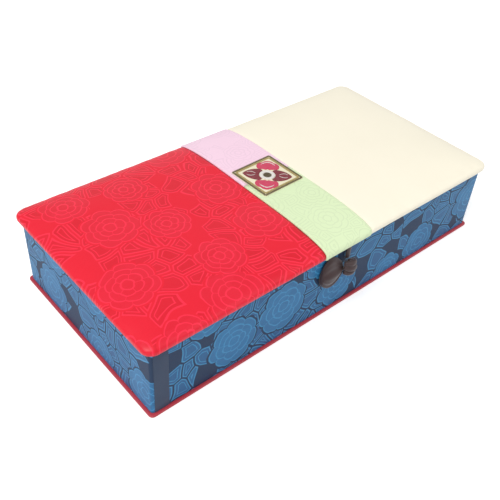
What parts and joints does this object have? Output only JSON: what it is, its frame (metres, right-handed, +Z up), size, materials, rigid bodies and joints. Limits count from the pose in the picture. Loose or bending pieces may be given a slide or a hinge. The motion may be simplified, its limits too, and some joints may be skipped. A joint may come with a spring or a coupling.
{
  "type": "padded brocade gift box",
  "caption": "Long low padded gift box: brocade walls on a thin base plate, hinged crowned patchwork lid with an embroidered patch and a tied fabric pull.",
  "frame": {"origin": "centre of the base plate's underside", "axes": "+X along the box's length, to the right of someone facing the front; -Y out of the front, where the pull hangs; +Z up"},
  "size_m": [0.303, 0.1567, 0.0643],
  "materials": {
    "board": "grey cardboard",
    "base_cloth": "dark red cloth",
    "blue_brocade": "blue jacquard brocade, woven peonies and scrolls",
    "lining": "plain cream satin",
    "wadding": "soft wadding",
    "hinge_cloth": "dark red cloth",
    "red_brocade": "red jacquard satin, woven scrolls and peonies",
    "ivory_satin": "plain ivory satin",
    "green_satin": "light green satin with faint scrolls",
    "pink_satin": "pale pink satin with faint scrolls",
    "patch_ground": "cream cloth",
    "patch_border": "olive and gold thread",
    "crimson_thread": "crimson silk thread",
    "dark_red_thread": "dark red silk thread",
    "white_thread": "white silk thread",
    "olive_thread": "dark olive thread",
    "maroon_satin": "dark maroon satin"
  },
  "bodies": {
    "tray": {"base_board": "board", "base_cloth": "base_cloth", "front_board": "board", "rear_board": "board", "left_board": "board", "right_board": "board", "wall_brocade": "blue_brocade", "front_lining": "lining", "rear_lining": "lining", "left_lining": "lining", "right_lining": "lining", "floor_board": "board", "floor_pad": "wadding", "floor_lining": "lining", "hinge_wall_leaf": "hinge_cloth"},
    "lid": {"hinge_lid_leaf": "hinge_cloth", "lid_board": "board", "lid_pad": "wadding", "lid_lining": "lining", "red_cover": "red_brocade", "ivory_cover": "ivory_satin", "green_band": "green_satin", "pink_band": "pink_satin", "patch_ground": "patch_ground", "patch_border": "patch_border", "patch_petals": "crimson_thread", "patch_leaves": "dark_red_thread", "patch_ring": "white_thread", "patch_center": "olive_thread", "pull_tail": "maroon_satin"},
    "pull": {"pull_strap": "maroon_satin", "pull_knot": "maroon_satin", "pull_loop": "maroon_satin"}
  },
  "joints": [
    {"name": "lid_hinge", "type": "hinge", "parent": "tray", "child": "lid", "pos_m": [0, 0.0723, 0.0523], "axis": [-1, 0, 0], "range_deg": [0, 105]},
    {"name": "pull_swing", "type": "hinge", "parent": "lid", "child": "pull", "pos_m": [0.004, -0.07297, 0.0509], "axis": [-1, 0, 0], "range_deg": [0, 90]}
  ]
}
